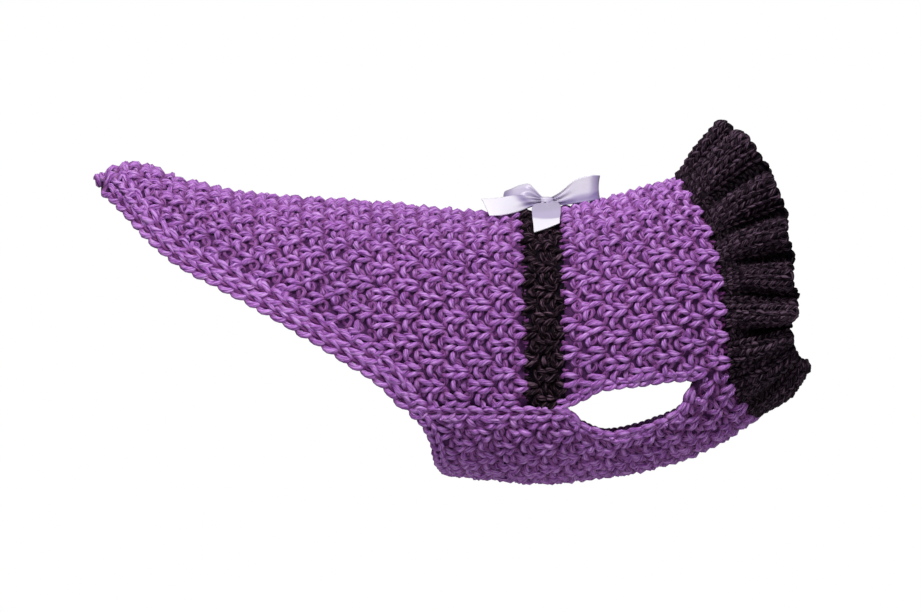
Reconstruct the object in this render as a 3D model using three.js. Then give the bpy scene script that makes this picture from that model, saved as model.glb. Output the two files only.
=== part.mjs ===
// A hand-knitted dog sweater, filled out as if worn. Millimetres, +X towards the head, +Z up.
// The origin is on the inside of the back, at the spine under the striped band.
import * as THREE from 'three';

// Driving sizes
const bodyWall = 3.6;
const collarWall = 3.4;
const ribbonWall = 1.0;
const seamGap = 0.34;
const halfTurn = 180;

// The filled-out form: one row for each cross-section, from the tail end to the throat.
// top is the outer height of the spine, upper and lower are the heights above and below
// the widest level, and belly says how square the lower half is.
const bodySections = [
  { x: -187, top: 15.5, upper: 9, lower: 9, halfWidth: 8, belly: 2.0 },
  { x: -183, top: 19.5, upper: 14, lower: 14, halfWidth: 14, belly: 2.0 },
  { x: -178, top: 22.2, upper: 22, lower: 22, halfWidth: 21, belly: 2.0 },
  { x: -172, top: 23.8, upper: 30, lower: 30, halfWidth: 28, belly: 2.0 },
  { x: -164, top: 22.0, upper: 36, lower: 36, halfWidth: 35, belly: 2.0 },
  { x: -152, top: 16.9, upper: 42, lower: 42, halfWidth: 43, belly: 2.1 },
  { x: -143, top: 14.7, upper: 46, lower: 46, halfWidth: 47, belly: 2.2 },
  { x: -126, top: 11.0, upper: 50, lower: 50, halfWidth: 51.5, belly: 2.3 },
  { x: -101, top: 8.6, upper: 55, lower: 56, halfWidth: 55, belly: 2.5 },
  { x: -76, top: 7.0, upper: 57, lower: 56, halfWidth: 56, belly: 2.6 },
  { x: -51, top: 4.9, upper: 57, lower: 53, halfWidth: 55.5, belly: 2.6 },
  { x: -25, top: 2.6, upper: 56.6, lower: 55, halfWidth: 55, belly: 2.6 },
  { x: 0, top: 3.6, upper: 57, lower: 57.2, halfWidth: 54.5, belly: 2.6 },
  { x: 25, top: 7.8, upper: 57, lower: 59.3, halfWidth: 53.5, belly: 2.6 },
  { x: 42, top: 12.0, upper: 57, lower: 60.7, halfWidth: 51, belly: 2.5 },
  { x: 58, top: 14.9, upper: 56, lower: 60.5, halfWidth: 48, belly: 2.4 },
  { x: 70, top: 17.0, upper: 54, lower: 59.7, halfWidth: 45, belly: 2.3 },
  { x: 82, top: 18.0, upper: 52, lower: 55.8, halfWidth: 42, belly: 2.2 },
  { x: 94, top: 18.5, upper: 50, lower: 50, halfWidth: 39, belly: 2.2 },
];

// Edges that show from the side, as places on the outer surface. Both sides share them.
const backHem = [
  { x: -187, z: 12.5 }, { x: -182, z: 9.6 }, { x: -174.8, z: 3.6 }, { x: -165.2, z: -5.6 },
  { x: -156.5, z: -13.5 }, { x: -148.1, z: -19.6 }, { x: -131.5, z: -28.6 }, { x: -115.1, z: -37.6 },
  { x: -98.7, z: -47.2 }, { x: -82.5, z: -57.3 }, { x: -66.4, z: -67.9 }, { x: -53.9, z: -79 },
  { x: -30, z: -79 }, { x: 10, z: -79 },
];
const bellyHem = [
  { x: -53.9, z: -79 }, { x: -48.2, z: -85.1 }, { x: -45.1, z: -91.4 }, { x: -43.8, z: -95.5 },
  { x: -41.6, z: -101.4 }, { x: -39, z: -105.4 }, { x: -38, z: -107.2 },
];
const yokeEdge = [
  { x: 8.6, z: -78.2 }, { x: 13, z: -76 }, { x: 18.8, z: -73.3 }, { x: 23.6, z: -70.8 },
  { x: 39.1, z: -68.8 }, { x: 55.5, z: -66.8 }, { x: 64.7, z: -66.6 }, { x: 66.7, z: -66.9 },
  { x: 78.8, z: -68.7 },
];
const bellyEdge = [
  { x: -53.9, z: -79 }, { x: -30, z: -79 }, { x: 5, z: -79 }, { x: 9.1, z: -79.9 }, { x: 15, z: -85 },
  { x: 27.6, z: -89.3 }, { x: 39.8, z: -87 }, { x: 47.9, z: -84.2 }, { x: 55.9, z: -79.6 },
  { x: 58.9, z: -75.8 }, { x: 61.4, z: -70.4 }, { x: 64.7, z: -66.6 }, { x: 66.7, z: -66.9 },
  { x: 78.8, z: -68.7 },
];
const neckSeam = [
  { x: 58.4, z: 15 }, { x: 61.2, z: 12.2 }, { x: 64.6, z: 7.2 }, { x: 70.1, z: -3.4 },
  { x: 73.4, z: -16.2 }, { x: 75.5, z: -32.2 }, { x: 77.1, z: -48.6 }, { x: 78.1, z: -62.9 },
  { x: 81.6, z: -73.7 }, { x: 87, z: -80.4 }, { x: 92.8, z: -82.4 },
];
const bandEdges = { tailSide: -8.2, headSide: 8.4, tailSideLean: 5.5, headSideLean: 2.2 };
const tailTipX = bodySections[0].x;
const hemCornerX = bellyHem[0].x;
const strapEndX = yokeEdge[yokeEdge.length - 1].x;

// The gathered collar: how far each part of its free edge lies from the neck seam.
const collarFlare = [
  { angle: 0, forward: 19, outward: 0, up: 26.5 },
  { angle: 14, forward: 19.5, outward: 2, up: 25.5 },
  { angle: 30, forward: 24, outward: 5, up: 21 },
  { angle: 50, forward: 28, outward: 8, up: 13.5 },
  { angle: 68, forward: 28.5, outward: 10, up: 5 },
  { angle: 80, forward: 28.5, outward: 10, up: -2 },
  { angle: 92, forward: 29, outward: 9, up: -1 },
  { angle: 104, forward: 28, outward: 8, up: 2 },
  { angle: 118, forward: 26.5, outward: 6.5, up: 8 },
  { angle: 134, forward: 24, outward: 5, up: 14 },
  { angle: 150, forward: 21, outward: 3, up: 19 },
  { angle: 180, forward: 18.5, outward: 0, up: 22.5 },
];
// One row for each ridge (push above zero) and furrow (below zero), from the spine down.
const nearFolds = [
  { angle: 0, push: 1.6, reach: 1 }, { angle: 8, push: 2.4, reach: 1 }, { angle: 15, push: -3.4, reach: 0.99 },
  { angle: 22, push: 2.8, reach: 1 }, { angle: 31, push: -4.0, reach: 0.98 }, { angle: 40, push: 3.2, reach: 1 },
  { angle: 50, push: -3.8, reach: 0.98 }, { angle: 58, push: 3.0, reach: 1 }, { angle: 66, push: -3.2, reach: 0.98 },
  { angle: 73, push: 2.8, reach: 1.01 }, { angle: 81, push: -3.8, reach: 0.98 }, { angle: 92, push: 3.2, reach: 1.01 },
  { angle: 104, push: -5.4, reach: 0.86 }, { angle: 118, push: 3.4, reach: 1 }, { angle: 134, push: -4.4, reach: 0.97 },
  { angle: 150, push: 2.8, reach: 1 }, { angle: 167, push: -2.2, reach: 0.98 }, { angle: 180, push: 2.2, reach: 1 },
];
const farFolds = [
  { angle: 0, push: 1.6, reach: 1 }, { angle: 11, push: -3.6, reach: 0.98 }, { angle: 21, push: 2.8, reach: 1 },
  { angle: 32, push: -4.0, reach: 0.97 }, { angle: 42, push: 3.0, reach: 1.01 }, { angle: 52, push: -3.6, reach: 0.98 },
  { angle: 61, push: 2.9, reach: 1 }, { angle: 70, push: -3.4, reach: 0.97 }, { angle: 80, push: 3.0, reach: 1 },
  { angle: 91, push: -4.4, reach: 0.95 }, { angle: 104, push: 3.3, reach: 1 }, { angle: 118, push: -4.6, reach: 0.95 },
  { angle: 133, push: 3.1, reach: 1.01 }, { angle: 149, push: -3.4, reach: 0.97 }, { angle: 165, push: 2.4, reach: 1 },
  { angle: 180, push: 2.2, reach: 1 },
];
const collarBulge = 2.6;
const gatherLength = 0.55;
const ridgeRoundness = 0.7;

// The satin bow: one row for each place along a ribbon's middle line. lean turns the ribbon's
// width in the plane across the body: 0 stands upright, 90 lies flat towards the far side.
const bowLoopLeft = [
  { x: -1.3, y: -2.6, z: 8.2, width: 5, lean: 20 }, { x: -4.6, y: -3.6, z: 11.0, width: 8, lean: 25 },
  { x: -8.6, y: -3.6, z: 11.6, width: 9.6, lean: 42 }, { x: -12.6, y: -2.6, z: 10.6, width: 10, lean: 50 },
  { x: -14.8, y: -0.8, z: 9.2, width: 10, lean: 52 }, { x: -14.2, y: 1.2, z: 8.0, width: 10, lean: 52 },
  { x: -11.2, y: 2.4, z: 7.6, width: 9.6, lean: 45 }, { x: -6.2, y: 2.6, z: 7.6, width: 8, lean: 35 },
  { x: -1.3, y: 1.6, z: 7.6, width: 5, lean: 20 },
];
const bowLoopRight = [
  { x: 5.1, y: -2.4, z: 7.9, width: 4.6, lean: 5 }, { x: 9.4, y: -4.0, z: 9.9, width: 6.8, lean: 5 },
  { x: 14.6, y: -5.0, z: 12.0, width: 9.0, lean: 8 }, { x: 19.6, y: -5.2, z: 13.3, width: 10.2, lean: 8 },
  { x: 23.4, y: -4.6, z: 13.6, width: 10.4, lean: 8 }, { x: 24.8, y: -2.6, z: 13.6, width: 10.4, lean: 8 },
  { x: 23.4, y: -0.8, z: 13.5, width: 10.4, lean: 8 }, { x: 18.6, y: 0.2, z: 12.6, width: 9.6, lean: 8 },
  { x: 12.4, y: 1.2, z: 10.6, width: 7.2, lean: 8 }, { x: 5.1, y: 1.4, z: 8.0, width: 4.6, lean: 5 },
];
const bowTailLeft = [
  { x: -2.4, y: -5.5, z: 7.2, width: 4.4, lean: 24 }, { x: -5.8, y: -8.4, z: 7.0, width: 7.4, lean: 30 },
  { x: -10.4, y: -11.6, z: 5.9, width: 10.2, lean: 42 }, { x: -16.4, y: -14.2, z: 5.0, width: 11, lean: 48 },
  { x: -21.0, y: -15.2, z: 4.6, width: 11, lean: 50 }, { x: -24.4, y: -15.4, z: 4.5, width: 10.6, lean: 50 },
];
const bowTailDown = [
  { y: -4.6, rise: 2.6, width: 5.6 }, { y: -9.5, rise: 2.4, width: 9.2 }, { y: -15, rise: 1.9, width: 11.4 },
  { y: -20.5, rise: 1.6, width: 11.6 }, { y: -25, rise: 1.4, width: 11.4 }, { y: -28.6, rise: 1.3, width: 11 },
];
const tailDownCentre = 2.0;
const knot = { x: 1.9, y: -0.6, z: 7.2, length: 5.4, across: 6.6, height: 5.0, pinch: 0.82 };

const yarnPurple = new THREE.Color(0.3, 0.165, 0.4);
const yarnBlack = new THREE.Color(0.02, 0.015, 0.022);
const satinLilac = new THREE.Color(0.72, 0.68, 0.8);

const radians = (degrees) => THREE.MathUtils.degToRad(degrees);
const mix = (a, b, share) => a + (b - a) * share;

// Smooth reading of one column of a table between its rows, without overshoot.
function readTable(rows, key, at, column) {
  const last = rows.length - 1;
  if (at <= rows[0][key]) return rows[0][column];
  if (at >= rows[last][key]) return rows[last][column];
  let i = 0;
  while (at > rows[i + 1][key]) i += 1;
  const slope = (k) => (rows[k + 1][column] - rows[k][column]) / (rows[k + 1][key] - rows[k][key]);
  const tangent = (k) => {
    if (k === 0) return slope(0);
    if (k === last) return slope(last - 1);
    const before = slope(k - 1);
    const after = slope(k);
    return before * after <= 0 ? 0 : (2 * before * after) / (before + after);
  };
  const span = rows[i + 1][key] - rows[i][key];
  const t = (at - rows[i][key]) / span;
  const startShare = (1 + 2 * t) * (1 - t) ** 2;
  const endShare = t * t * (3 - 2 * t);
  const startSlope = t * (1 - t) ** 2 * span * tangent(i);
  const endSlope = t * t * (t - 1) * span * tangent(i + 1);
  return startShare * rows[i][column] + startSlope + endShare * rows[i + 1][column] + endSlope;
}

// A round-shouldered section: angle 0 is the spine, 90 the far side, 180 the belly, 270 the near side.
function sectionAt(x) {
  const read = (column) => readTable(bodySections, 'x', x, column);
  const upper = read('upper');
  return { centre: read('top') - upper, upper, lower: read('lower'), halfWidth: read('halfWidth'), belly: read('belly') };
}

function bodyPoint(x, angle) {
  const section = sectionAt(x);
  const across = Math.sin(radians(angle));
  const rise = Math.cos(radians(angle));
  const power = rise >= 0 ? 2 : section.belly;
  const height = rise >= 0 ? section.upper : section.lower;
  const reach = (Math.abs(rise / height) ** power + Math.abs(across / section.halfWidth) ** power) ** (-1 / power);
  return new THREE.Vector3(x, reach * across, section.centre + reach * rise);
}

function bodyNormal(x, angle) {
  const stepX = 0.5;
  const stepAngle = 0.5;
  const around = bodyPoint(x, angle + stepAngle).sub(bodyPoint(x, angle - stepAngle));
  const along = bodyPoint(x + stepX, angle).sub(bodyPoint(x - stepX, angle));
  along.y *= 0.6;
  along.z *= 0.6;
  return around.cross(along).normalize().negate();
}

// The angle at which the far side of the body has a given height.
function angleAt(x, z) {
  const section = sectionAt(x);
  const rise = z - section.centre;
  const power = rise >= 0 ? 2 : section.belly;
  const height = rise >= 0 ? section.upper : section.lower;
  const share = Math.min(1, Math.abs(rise / height));
  const across = section.halfWidth * (1 - share ** power) ** (1 / power);
  return THREE.MathUtils.radToDeg(Math.atan2(across, rise));
}

const withAngles = (rows) => rows.map((row) => ({ x: row.x, angle: angleAt(row.x, row.z) }));
const bellyHemAngles = withAngles(bellyHem).map((row, i, rows) => (
  i === rows.length - 1 ? { ...row, angle: halfTurn } : row));
const neckAngles = withAngles(neckSeam).map((row, i, rows) => {
  if (i === 0) return { ...row, angle: 0 };
  return i === rows.length - 1 ? { ...row, angle: halfTurn } : row;
});

const fromSpine = (angle) => Math.abs(((angle + 540) % 360) - halfTurn);
const neckX = (angle) => readTable(neckAngles, 'angle', fromSpine(angle), 'x');
const bellyHemX = (angle) => readTable(bellyHemAngles, 'angle', fromSpine(angle), 'x');
const bandSide = (start, lean, angle) => start + lean * (fromSpine(angle) / halfTurn) ** 2;
const bandTailSide = (angle) => bandSide(bandEdges.tailSide, bandEdges.tailSideLean, angle);
const bandHeadSide = (angle) => bandSide(bandEdges.headSide, bandEdges.headSideLean, angle);

const edgeAngleAt = (edge, x) => angleAt(x, readTable(edge, 'x', x, 'z'));

// A closed body from its triangles, turned to face outwards whichever way they were listed.
function solidGeometry(positions, indices) {
  const corner = (k) => new THREE.Vector3().fromArray(positions, indices[k] * 3);
  let volume = 0;
  for (let k = 0; k < indices.length; k += 3) {
    volume += corner(k).dot(corner(k + 1).cross(corner(k + 2))) / 6;
  }
  const outwards = volume > 0 ? indices : [...indices].reverse();
  const geometry = new THREE.BufferGeometry();
  geometry.setAttribute('position', new THREE.Float32BufferAttribute(positions, 3));
  geometry.setIndex(outwards);
  geometry.computeVertexNormals();
  return geometry;
}

// A closed wall from a grid of outer and inner points. A ring joins its last row to its first.
function wallGeometry(outer, inner, ring) {
  const rows = outer.length;
  const columns = outer[0].length;
  const positions = [...outer.flat(), ...inner.flat()].flatMap((point) => [point.x, point.y, point.z]);
  const innerStart = rows * columns;
  const indices = [];
  const quad = (a, b, c, d) => indices.push(a, b, c, a, c, d);
  const rowCount = ring ? rows : rows - 1;
  for (let i = 0; i < rowCount; i += 1) {
    const next = (i + 1) % rows;
    for (let j = 0; j < columns - 1; j += 1) {
      const a = i * columns + j;
      const b = next * columns + j;
      quad(a, b, b + 1, a + 1);
      quad(innerStart + a, innerStart + a + 1, innerStart + b + 1, innerStart + b);
    }
    const first = i * columns;
    const nextFirst = next * columns;
    const end = first + columns - 1;
    const nextEnd = nextFirst + columns - 1;
    quad(nextFirst, first, innerStart + first, innerStart + nextFirst);
    quad(end, nextEnd, innerStart + nextEnd, innerStart + end);
  }
  if (!ring) {
    for (let j = 0; j < columns - 1; j += 1) {
      const end = (rows - 1) * columns + j;
      quad(j, j + 1, innerStart + j + 1, innerStart + j);
      quad(end + 1, end, innerStart + end, innerStart + end + 1);
    }
  }
  return solidGeometry(positions, indices);
}

// A knitted piece of the body between two cross edges and two side edges.
function bodyPiece({ from, to, edge, edgeFrom, edgeTo, underside, alongSteps, acrossSteps, shrink }) {
  const outer = [];
  const inner = [];
  const sign = underside ? 1 : -1;
  for (let i = 0; i <= alongSteps; i += 1) {
    const along = i / alongSteps;
    const edgeX = mix(edgeFrom, edgeTo, along);
    const edgePoint = bodyPoint(edgeX, edgeAngleAt(edge, edgeX));
    const radius = Math.hypot(edgePoint.y, edgePoint.z - sectionAt(edgeX).centre);
    const inset = THREE.MathUtils.radToDeg(seamGap / 2 / radius);
    const edgeAngle = edgeAngleAt(edge, edgeX) + sign * inset;
    const correction = edgeX - mix(from(edgeAngle), to(edgeAngle), along);
    const outerRow = [];
    const innerRow = [];
    for (let j = 0; j <= acrossSteps; j += 1) {
      const side = -1 + (2 * j) / acrossSteps;
      const angle = underside ? halfTurn + side * (halfTurn - edgeAngle) : side * edgeAngle;
      const start = from(angle) + (shrink.start ? seamGap / 2 : 0);
      const end = to(angle) - (shrink.end ? seamGap / 2 : 0);
      const x = mix(start, end, along) + correction * Math.abs(side) ** 3;
      const surface = bodyPoint(x, angle);
      outerRow.push(surface);
      innerRow.push(surface.clone().addScaledVector(bodyNormal(x, angle), -bodyWall));
    }
    outer.push(outerRow);
    inner.push(innerRow);
  }
  return wallGeometry(outer, inner, false);
}

function collarFold(angle) {
  const wrapped = (angle + 360) % 360;
  const rows = wrapped <= halfTurn ? farFolds : nearFolds;
  const spineAngle = fromSpine(angle);
  let i = 0;
  while (i < rows.length - 2 && spineAngle > rows[i + 1].angle) i += 1;
  const share = (spineAngle - rows[i].angle) / (rows[i + 1].angle - rows[i].angle);
  const ease = (1 - Math.cos(Math.PI * Math.min(1, share))) / 2;
  const rising = rows[i + 1].push > rows[i].push;
  const rounded = rising ? ease ** ridgeRoundness : 1 - (1 - ease) ** ridgeRoundness;
  return { push: mix(rows[i].push, rows[i + 1].push, rounded), reach: mix(rows[i].reach, rows[i + 1].reach, ease) };
}

function collarPoint(angle, along) {
  const seamX = neckX(angle) + seamGap / 2;
  const seam = bodyPoint(seamX, angle);
  const spineAngle = fromSpine(angle);
  const side = Math.sin(radians(angle)) < 0 ? -1 : 1;
  const flare = (column) => readTable(collarFlare, 'angle', spineAngle, column);
  const { push, reach } = collarFold(angle);
  const direction = new THREE.Vector3(flare('forward'), side * flare('outward'), flare('up'));
  const ringStep = 2;
  const ringBefore = bodyPoint(neckX(angle - ringStep), angle - ringStep);
  const ringAfter = bodyPoint(neckX(angle + ringStep), angle + ringStep);
  const outwards = ringBefore.sub(ringAfter).cross(direction).normalize();
  const seamNormal = bodyNormal(seamX, angle);
  const turn = THREE.MathUtils.smoothstep(along, 0, gatherLength);
  const wallNormal = seamNormal.clone().lerp(outwards, turn).normalize();
  const middle = seam.clone().addScaledVector(seamNormal, -bodyWall / 2);
  middle.addScaledVector(direction, along * mix(1, reach, turn));
  middle.addScaledVector(outwards, collarBulge * Math.sin(Math.PI * along) + push * turn);
  return { middle, wallNormal };
}

function collarGeometry() {
  const aroundSteps = 156;
  const alongSteps = 7;
  const outer = [];
  const inner = [];
  for (let i = 0; i < aroundSteps; i += 1) {
    const angle = (360 * i) / aroundSteps;
    const outerRow = [];
    const innerRow = [];
    for (let j = 0; j <= alongSteps; j += 1) {
      const along = j / alongSteps;
      const { middle, wallNormal } = collarPoint(angle, along);
      outerRow.push(middle.clone().addScaledVector(wallNormal, collarWall / 2));
      innerRow.push(middle.clone().addScaledVector(wallNormal, -collarWall / 2));
    }
    outer.push(outerRow);
    inner.push(innerRow);
  }
  return wallGeometry(outer, inner, true);
}

// A ribbon along a middle line, with its width turned as its rows say.
function ribbonGeometry(centres, acrosses, steps) {
  const line = new THREE.CatmullRomCurve3(centres);
  const widths = new THREE.CatmullRomCurve3(acrosses);
  const acrossSteps = 4;
  const outer = [];
  const inner = [];
  for (let i = 0; i <= steps; i += 1) {
    const t = i / steps;
    const centre = line.getPoint(t);
    const across = widths.getPoint(t);
    const normal = across.clone().cross(line.getTangent(t)).normalize();
    const outerRow = [];
    const innerRow = [];
    for (let j = 0; j <= acrossSteps; j += 1) {
      const point = centre.clone().addScaledVector(across, j / acrossSteps - 0.5);
      outerRow.push(point.clone().addScaledVector(normal, ribbonWall / 2));
      innerRow.push(point.clone().addScaledVector(normal, -ribbonWall / 2));
    }
    outer.push(outerRow);
    inner.push(innerRow);
  }
  return wallGeometry(outer, inner, false);
}

function leaningRibbon(rows, steps) {
  const centres = rows.map((row) => new THREE.Vector3(row.x, row.y, row.z));
  const acrosses = rows.map((row) => new THREE.Vector3(
    0, Math.sin(radians(row.lean)) * row.width, Math.cos(radians(row.lean)) * row.width,
  ));
  return ribbonGeometry(centres, acrosses, steps);
}

// The front tail drapes over the near side of the back.
function drapedRibbon(rows, centreX, steps) {
  const centres = rows.map((row) => {
    const section = sectionAt(centreX);
    const share = Math.min(1, Math.abs(row.y) / section.halfWidth);
    const surface = section.centre + section.upper * Math.sqrt(1 - share * share);
    return new THREE.Vector3(centreX, row.y, surface + row.rise);
  });
  const acrosses = rows.map((row) => new THREE.Vector3(row.width, 0, row.width * 0.1));
  return ribbonGeometry(centres, acrosses, steps);
}

function knotGeometry() {
  const around = 16;
  const profile = [
    { along: -0.5, size: 0.72 }, { along: -0.3, size: 0.95 }, { along: 0, size: 1 },
    { along: 0.3, size: 0.95 }, { along: 0.5, size: 0.72 },
  ];
  const positions = [];
  const indices = [];
  for (const row of profile) {
    for (let i = 0; i < around; i += 1) {
      const turn = (2 * Math.PI * i) / around;
      const y = Math.sign(Math.cos(turn)) * Math.abs(Math.cos(turn)) ** knot.pinch;
      const z = Math.sign(Math.sin(turn)) * Math.abs(Math.sin(turn)) ** knot.pinch;
      positions.push(row.along * knot.length, (y * row.size * knot.across) / 2, (z * row.size * knot.height) / 2);
    }
  }
  for (let k = 0; k < profile.length - 1; k += 1) {
    for (let i = 0; i < around; i += 1) {
      const next = (i + 1) % around;
      const a = k * around + i;
      const b = k * around + next;
      indices.push(a, b, b + around, a, b + around, a + around);
    }
  }
  const lastRing = (profile.length - 1) * around;
  for (let i = 1; i < around - 1; i += 1) {
    indices.push(0, i + 1, i, lastRing, lastRing + i, lastRing + i + 1);
  }
  return solidGeometry(positions, indices);
}

function addPiece(group, name, geometry, color, roughness) {
  const piece = new THREE.Mesh(geometry, new THREE.MeshStandardMaterial({ color, roughness, metalness: 0 }));
  piece.name = name;
  group.add(piece);
  return piece;
}

const sweater = new THREE.Group();
const wool = 0.9;
const satin = 0.35;
const sideSeamAngle = angleAt(0, bellyEdge[0].z);
const bandTailCorner = bandTailSide(sideSeamAngle);
const bandHeadCorner = bandHeadSide(sideSeamAngle);

addPiece(sweater, 'back_rear', bodyPiece({
  from: () => tailTipX, to: bandTailSide, edge: backHem, edgeFrom: tailTipX, edgeTo: bandTailCorner,
  underside: false, alongSteps: 30, acrossSteps: 30, shrink: { start: false, end: true },
}), yarnPurple, wool);
addPiece(sweater, 'back_band', bodyPiece({
  from: bandTailSide, to: bandHeadSide, edge: backHem, edgeFrom: bandTailCorner, edgeTo: bandHeadCorner,
  underside: false, alongSteps: 2, acrossSteps: 36, shrink: { start: true, end: true },
}), yarnBlack, wool);
addPiece(sweater, 'back_yoke', bodyPiece({
  from: bandHeadSide, to: neckX, edge: yokeEdge, edgeFrom: bandHeadCorner, edgeTo: strapEndX,
  underside: false, alongSteps: 12, acrossSteps: 32, shrink: { start: true, end: true },
}), yarnPurple, wool);
addPiece(sweater, 'belly_panel', bodyPiece({
  from: bellyHemX, to: neckX, edge: bellyEdge, edgeFrom: hemCornerX, edgeTo: strapEndX,
  underside: true, alongSteps: 32, acrossSteps: 16, shrink: { start: false, end: true },
}), yarnPurple, wool);
addPiece(sweater, 'collar', collarGeometry(), yarnBlack, wool);
addPiece(sweater, 'bow_loop_left', leaningRibbon(bowLoopLeft, 20), satinLilac, satin);
addPiece(sweater, 'bow_loop_right', leaningRibbon(bowLoopRight, 20), satinLilac, satin);
addPiece(sweater, 'bow_tail_left', leaningRibbon(bowTailLeft, 10), satinLilac, satin);
addPiece(sweater, 'bow_tail_down', drapedRibbon(bowTailDown, tailDownCentre, 10), satinLilac, satin);
const bowKnot = addPiece(sweater, 'bow_knot', knotGeometry(), satinLilac, satin);
bowKnot.position.set(knot.x, knot.y, knot.z);

export default sweater;
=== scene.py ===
import math
import bpy
import numpy as np
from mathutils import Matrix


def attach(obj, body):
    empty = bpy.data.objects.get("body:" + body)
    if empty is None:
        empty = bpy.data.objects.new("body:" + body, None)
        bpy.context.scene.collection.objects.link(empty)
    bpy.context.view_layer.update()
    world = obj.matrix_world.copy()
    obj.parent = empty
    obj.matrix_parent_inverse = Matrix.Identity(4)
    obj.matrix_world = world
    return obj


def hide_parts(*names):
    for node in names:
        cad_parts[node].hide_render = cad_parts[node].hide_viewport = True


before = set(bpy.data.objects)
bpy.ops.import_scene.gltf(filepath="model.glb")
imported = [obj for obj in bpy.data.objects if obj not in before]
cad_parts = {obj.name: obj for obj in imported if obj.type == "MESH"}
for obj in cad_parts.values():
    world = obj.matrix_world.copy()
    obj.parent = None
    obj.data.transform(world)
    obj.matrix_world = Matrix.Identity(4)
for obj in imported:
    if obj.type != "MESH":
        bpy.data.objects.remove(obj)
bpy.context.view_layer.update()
mm = 0.001
dice = np.random.default_rng(11)
scene = bpy.context.scene
print("frame loaded")


def placeObject(name, data):
    made = bpy.data.objects.new(name, data)
    scene.collection.objects.link(made)
    return made


# Camera: square on to the near side, 2 m away
cameraView = {
    "aimX": -33.8, "aimZ": -36.7, "distance": 2000.0, "frameWidth": 386.8, "sensor": 36.0, "clipEnd": 20.0,
}


def makeCamera(c):
    data = bpy.data.cameras.new("sideCamera")
    data.sensor_width = c["sensor"]
    data.lens = c["sensor"] * c["distance"] / c["frameWidth"]
    data.clip_end = c["clipEnd"]
    camera = placeObject("sideCamera", data)
    camera.location = (c["aimX"] * mm, -c["distance"] * mm, c["aimZ"] * mm)
    camera.rotation_euler = (math.pi / 2, 0, 0)
    scene.camera = camera


makeCamera(cameraView)

# The filled-out form in millimetres: x, the spine's height, the reach above and below the widest
# line, half the width, and how square the belly is
bodySections = [
    (-187, 15.5, 9, 9, 8, 2.0), (-183, 19.5, 14, 14, 14, 2.0), (-178, 22.2, 22, 22, 21, 2.0),
    (-172, 23.8, 30, 30, 28, 2.0), (-164, 22.0, 36, 36, 35, 2.0), (-152, 16.9, 42, 42, 43, 2.1),
    (-143, 14.7, 46, 46, 47, 2.2), (-126, 11.0, 50, 50, 51.5, 2.3), (-101, 8.6, 55, 56, 55, 2.5),
    (-76, 7.0, 57, 56, 56, 2.6), (-51, 4.9, 57, 53, 55.5, 2.6), (-25, 2.6, 56.6, 55, 55, 2.6),
    (0, 3.6, 57, 57.2, 54.5, 2.6), (25, 7.8, 57, 59.3, 53.5, 2.6), (42, 12.0, 57, 60.7, 51, 2.5),
    (58, 14.9, 56, 60.5, 48, 2.4), (70, 17.0, 54, 59.7, 45, 2.3), (82, 18.0, 52, 55.8, 42, 2.2),
    (94, 18.5, 50, 50, 39, 2.2),
]
# Edges as the side view shows them: x, z on the outer surface
backHem = [
    (-187, 12.5), (-182, 9.6), (-174.8, 3.6), (-165.2, -5.6), (-156.5, -13.5), (-148.1, -19.6),
    (-131.5, -28.6), (-115.1, -37.6), (-98.7, -47.2), (-82.5, -57.3), (-66.4, -67.9), (-53.9, -79),
    (-30, -79), (10, -79),
]
bellyHem = [
    (-53.9, -79), (-48.2, -85.1), (-45.1, -91.4), (-44.0, -95.5), (-43.2, -100.4), (-41.0, -104.4),
    (-36, -107.4),
]
yokeEdge = [
    (8.6, -78.2), (13, -76), (18.8, -73.3), (23.6, -70.8), (39.1, -68.8), (55.5, -66.8), (64.7, -66.6),
    (66.7, -66.9), (78.8, -68.7),
]
bellyEdge = [
    (-53.9, -79), (-30, -79), (5, -79), (9.1, -79.9), (15, -85), (27.6, -89.3), (39.8, -87), (47.9, -84.2),
    (55.9, -79.6), (58.9, -75.8), (61.4, -70.4), (64.7, -66.6), (66.7, -66.9), (78.8, -68.7),
]
neckSeam = [
    (58.4, 15), (61.2, 12.2), (64.6, 7.2), (70.1, -3.4), (73.4, -16.2), (75.5, -32.2), (77.1, -48.6),
    (78.1, -62.9), (81.6, -73.7), (87, -80.4), (92.8, -82.4),
]
bandEdges = {"tailSide": -8.2, "headSide": 8.4, "tailSideLean": 5.5, "headSideLean": 2.2}


def smoothColumn(keys, values):
    keys, values = np.array(keys, float), np.array(values, float)
    slopes = np.diff(values) / np.diff(keys)
    before, after = slopes[:-1], slopes[1:]
    same = before * after > 0
    middle = np.where(same, 2 * before * after / np.where(same, before + after, 1), 0)
    tangents = np.concatenate([slopes[:1], middle, slopes[-1:]])

    def read(at):
        at = np.clip(at, keys[0], keys[-1])
        i = np.clip(np.searchsorted(keys, at, side="right") - 1, 0, len(keys) - 2)
        span = keys[i + 1] - keys[i]
        t = (at - keys[i]) / span
        start = (1 + 2 * t) * (1 - t) ** 2 * values[i] + t * (1 - t) ** 2 * span * tangents[i]
        return start + t * t * (3 - 2 * t) * values[i + 1] + t * t * (t - 1) * span * tangents[i + 1]

    return read


sectionX = [row[0] for row in bodySections]
top, upper, lower, halfWidth, bellyPower = [
    smoothColumn(sectionX, [row[k] for row in bodySections]) for k in range(1, 6)]


def mix(a, b, share):
    return a + (b - a) * share


def smoothStep(value, start, end):
    t = np.clip((value - start) / (end - start), 0, 1)
    return t * t * (3 - 2 * t)


def unit(vectors):
    return vectors / np.maximum(np.linalg.norm(vectors, axis=-1, keepdims=True), 1e-9)


def together(a, b):
    return np.broadcast_arrays(np.asarray(a, float), np.asarray(b, float))


def arcLength(points):  # from the first point to each of them
    return np.concatenate([[0], np.cumsum(np.linalg.norm(np.diff(points, axis=0), axis=1))])


def readAlong(values, arc, at):
    return np.stack([np.interp(at, arc, values[:, k]) for k in range(3)], -1)


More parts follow.
